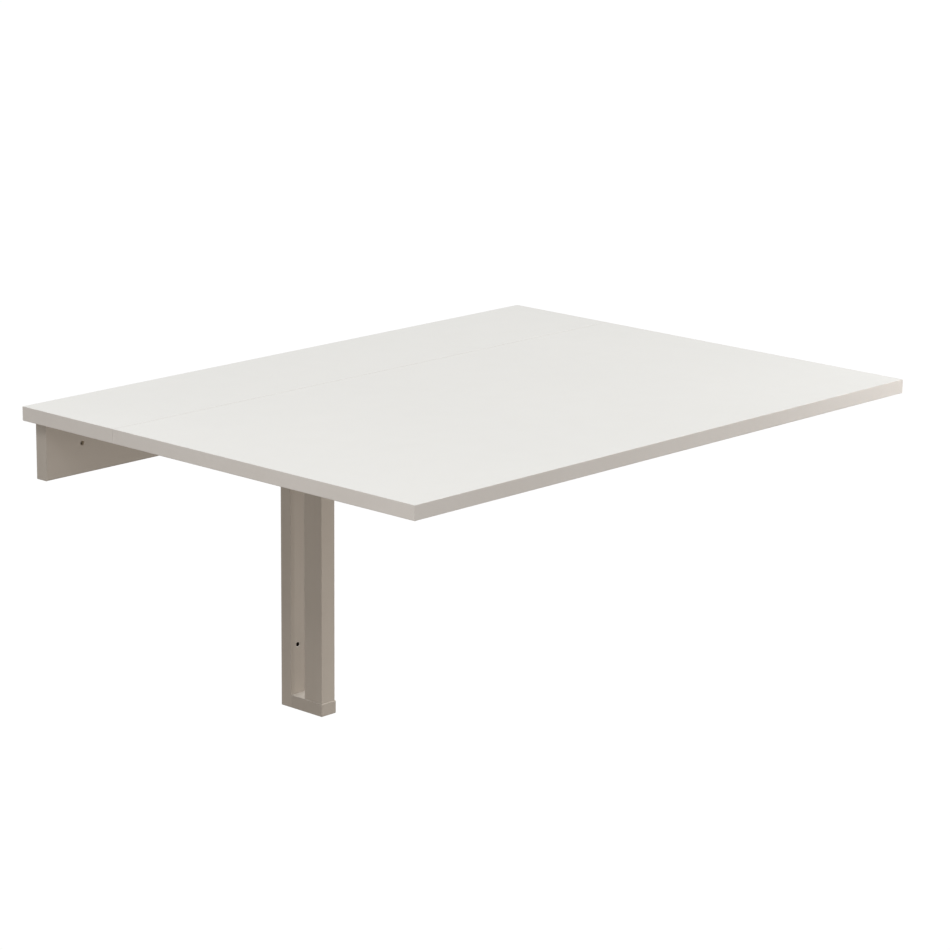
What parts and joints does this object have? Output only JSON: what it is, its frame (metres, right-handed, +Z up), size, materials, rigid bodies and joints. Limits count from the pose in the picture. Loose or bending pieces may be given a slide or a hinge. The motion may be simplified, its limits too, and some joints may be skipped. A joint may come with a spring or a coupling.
{
  "type": "wall mounted drop leaf table",
  "caption": "Wall mounted table with a narrow fixed shelf and a hinged drop leaf, held level by struts whose shoe slides in a slotted leg.",
  "frame": {"origin": "on the wall, midway along the table and midway between the batten's wall screws", "axes": "+X along the wall, +Y into the wall, +Z up; the table stands out along -Y"},
  "size_m": [0.79, 0.59, 0.427],
  "materials": {
    "board_foil": "smooth satin foil on particle board, warm white",
    "edge_band": "satin edge banding, warm white",
    "leg_paint": "satin paint on wood, warm white",
    "dowel_beech": "plain fluted beech",
    "zinc_steel": "pressed steel, bright zinc plate",
    "screw_steel": "turned steel, bright zinc plate",
    "strut_paint": "powder coated flat steel, warm white",
    "shoe_nylon": "moulded nylon, off-white",
    "washer_nylon": "turned nylon, off-white",
    "liner_rubber": "ribbed black rubber"
  },
  "bodies": {
    "wall_frame": {"shelf_board": "board_foil", "shelf_band_left": "edge_band", "shelf_band_right": "edge_band", "shelf_band_front": "edge_band", "wall_batten": "board_foil", "batten_band_left": "edge_band", "batten_band_right": "edge_band", "batten_band_lower": "edge_band", "shelf_dowels": "dowel_beech", "corner_angle_left": "zinc_steel", "corner_angle_right": "zinc_steel", "corner_angle_screws": "screw_steel", "leg_wall_strip": "leg_paint", "leg_lower_block": "leg_paint", "leg_upper_block": "leg_paint", "leg_guide_post": "leg_paint", "leg_dowels": "dowel_beech", "post_foot_screws": "screw_steel", "shoe_stop_pin": "dowel_beech", "leg_joint_plate": "zinc_steel", "leg_joint_screws": "screw_steel", "hinge_left_shelf_plate": "zinc_steel", "hinge_left_pin": "screw_steel", "hinge_middle_shelf_plate": "zinc_steel", "hinge_middle_pin": "screw_steel", "hinge_right_shelf_plate": "zinc_steel", "hinge_right_pin": "screw_steel", "hinge_shelf_screws": "screw_steel"},
    "drop_leaf": {"leaf_board": "board_foil", "leaf_band_left": "edge_band", "leaf_band_right": "edge_band", "leaf_band_front": "edge_band", "leaf_band_hinge_side": "edge_band", "hinge_left_leaf_plate": "zinc_steel", "hinge_middle_leaf_plate": "zinc_steel", "hinge_right_leaf_plate": "zinc_steel", "hinge_leaf_screws": "screw_steel", "strut_bracket": "zinc_steel", "strut_bracket_screws": "screw_steel", "strut_head_pin": "screw_steel", "strut_head_clips": "screw_steel"},
    "support_struts": {"strut_left": "strut_paint", "strut_right": "strut_paint", "strut_spacer": "zinc_steel", "strut_spacer_rivet": "screw_steel", "strut_foot_rivets": "screw_steel"},
    "slide_shoe": {"shoe_block": "shoe_nylon", "shoe_liners": "liner_rubber", "shoe_axle": "screw_steel", "shoe_washers": "washer_nylon", "shoe_buffer": "liner_rubber"}
  },
  "joints": [
    {"name": "leaf_drop", "type": "hinge", "parent": "wall_frame", "child": "drop_leaf", "pos_m": [0, -0.14725, 0.0297], "axis": [1, 0, 0], "range_deg": [0, 90]},
    {"name": "strut_fold", "type": "hinge", "parent": "drop_leaf", "child": "support_struts", "pos_m": [0, -0.27725, 0.022], "axis": [1, 0, 0], "range_deg": [-134.4, 0]},
    {"name": "shoe_slide", "type": "slide", "parent": "wall_frame", "child": "slide_shoe", "axis": [0, 0, 1], "range_m": [-0.2703, 0]}
  ],
  "couplings": [
    {"joint": "strut_fold", "follows": "leaf_drop", "ratio": -1.4928},
    {"joint": "shoe_slide", "follows": "leaf_drop", "m_per_rad": -0.17199}
  ]
}
